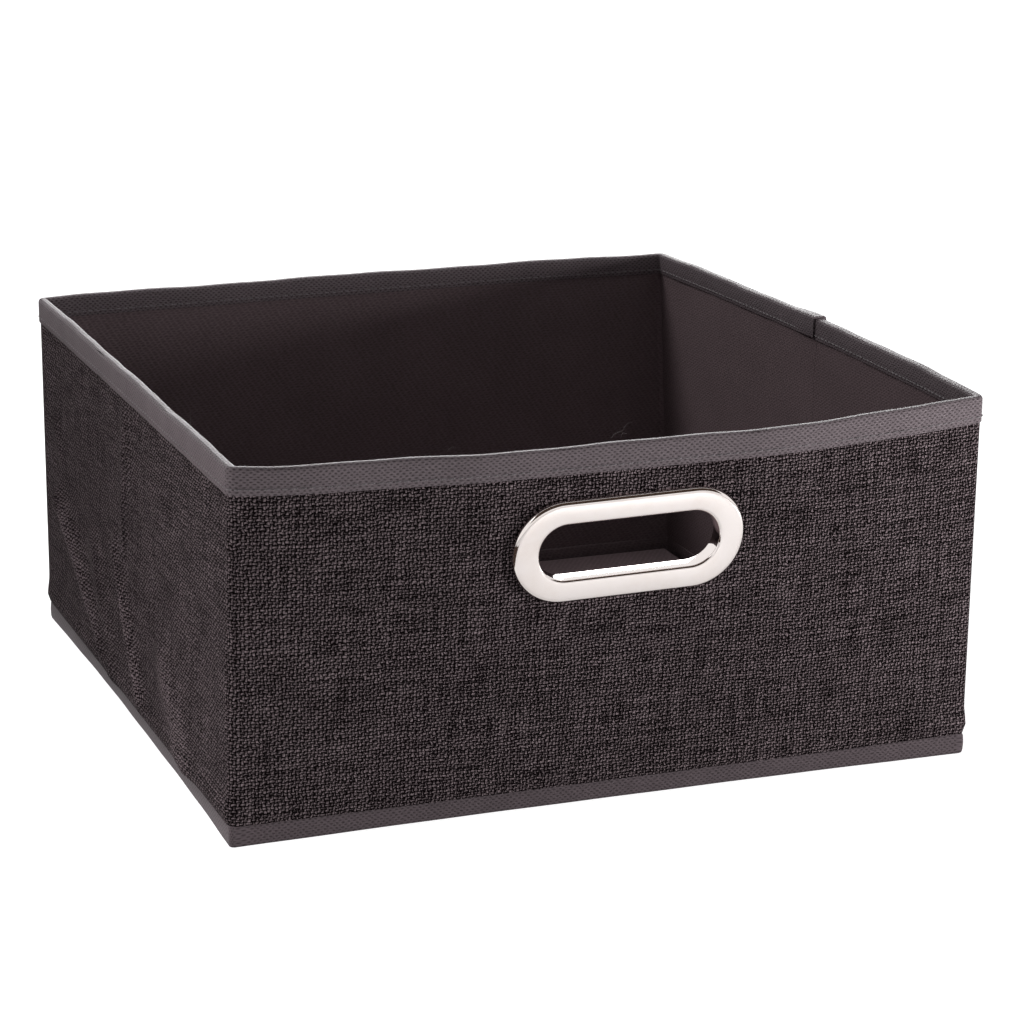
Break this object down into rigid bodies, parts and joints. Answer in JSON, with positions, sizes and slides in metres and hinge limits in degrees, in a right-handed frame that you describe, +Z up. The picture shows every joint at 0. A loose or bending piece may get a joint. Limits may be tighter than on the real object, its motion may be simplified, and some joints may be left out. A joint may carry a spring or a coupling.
{
  "type": "fabric storage box",
  "caption": "Open-topped rectangular fabric box with board walls, bound rim and base, an oval metal hand-hole grommet, a lift-out base insert, and side walls that fold inward.",
  "frame": {"origin": "centre of the base, on the surface that the box stands on", "axes": "+Z up, -Y out of the front wall with the grommet, +X to the right along the front wall"},
  "size_m": [0.311, 0.3355, 0.15],
  "materials": {
    "outer_cloth": "dark charcoal linen-look weave",
    "lining": "brown-grey non-woven lining with a fine emboss",
    "binding_tape": "dark non-woven tape with a fine dot emboss",
    "greyboard": "grey paperboard",
    "handle_metal": "polished nickel plate"
  },
  "bodies": {
    "root": {"back_board": "greyboard", "back_cover": "outer_cloth", "back_lining": "lining", "back_rim_tape": "binding_tape", "base_cloth": "outer_cloth", "base_binding_front": "binding_tape", "base_binding_back": "binding_tape", "base_binding_left": "binding_tape", "base_binding_right": "binding_tape"},
    "left_rear": {"left_rear_board": "greyboard", "left_rear_cover": "outer_cloth", "left_rear_lining": "lining", "left_rear_rim_tape": "binding_tape"},
    "left_front": {"left_front_board": "greyboard", "left_front_cover": "outer_cloth", "left_front_lining": "lining", "left_front_rim_tape": "binding_tape"},
    "right_rear": {"right_rear_board": "greyboard", "right_rear_cover": "outer_cloth", "right_rear_lining": "lining", "right_rear_rim_tape": "binding_tape"},
    "right_front": {"right_front_board": "greyboard", "right_front_cover": "outer_cloth", "right_front_lining": "lining", "right_front_rim_tape": "binding_tape"},
    "front": {"front_board": "greyboard", "front_cover": "outer_cloth", "front_lining": "lining", "front_rim_tape": "binding_tape", "handle_front_ring": "handle_metal", "handle_back_ring": "handle_metal"},
    "insert": {"insert_board": "greyboard", "insert_cover": "lining"}
  },
  "joints": [
    {"name": "left_rear_fold", "type": "hinge", "parent": "root", "child": "left_rear", "pos_m": [-0.15135, 0.15135, 0.075], "axis": [0, 0, 1], "range_deg": [0, 88], "deforming": ["base_cloth", "base_binding_front", "base_binding_left", "base_binding_right"]},
    {"name": "left_crease", "type": "hinge", "parent": "left_rear", "child": "left_front", "pos_m": [-0.15565, 0, 0.075], "axis": [0, 0, -1], "range_deg": [0, 176]},
    {"name": "front_fold", "type": "hinge", "parent": "left_front", "child": "front", "pos_m": [-0.15135, -0.15135, 0.075], "axis": [0, 0, 1], "range_deg": [0, 88]},
    {"name": "right_rear_fold", "type": "hinge", "parent": "root", "child": "right_rear", "pos_m": [0.15135, 0.15135, 0.075], "axis": [0, 0, -1], "range_deg": [0, 88]},
    {"name": "right_crease", "type": "hinge", "parent": "right_rear", "child": "right_front", "pos_m": [0.15565, 0, 0.075], "axis": [0, 0, 1], "range_deg": [0, 176]},
    {"name": "insert_lift", "type": "slide", "parent": "root", "child": "insert", "axis": [0, 0, 1], "range_m": [0, 0.17]}
  ],
  "couplings": [
    {"joint": "left_crease", "follows": "left_rear_fold", "ratio": 2},
    {"joint": "front_fold", "follows": "left_rear_fold", "ratio": 1},
    {"joint": "right_rear_fold", "follows": "left_rear_fold", "ratio": 1},
    {"joint": "right_crease", "follows": "left_rear_fold", "ratio": 2}
  ]
}
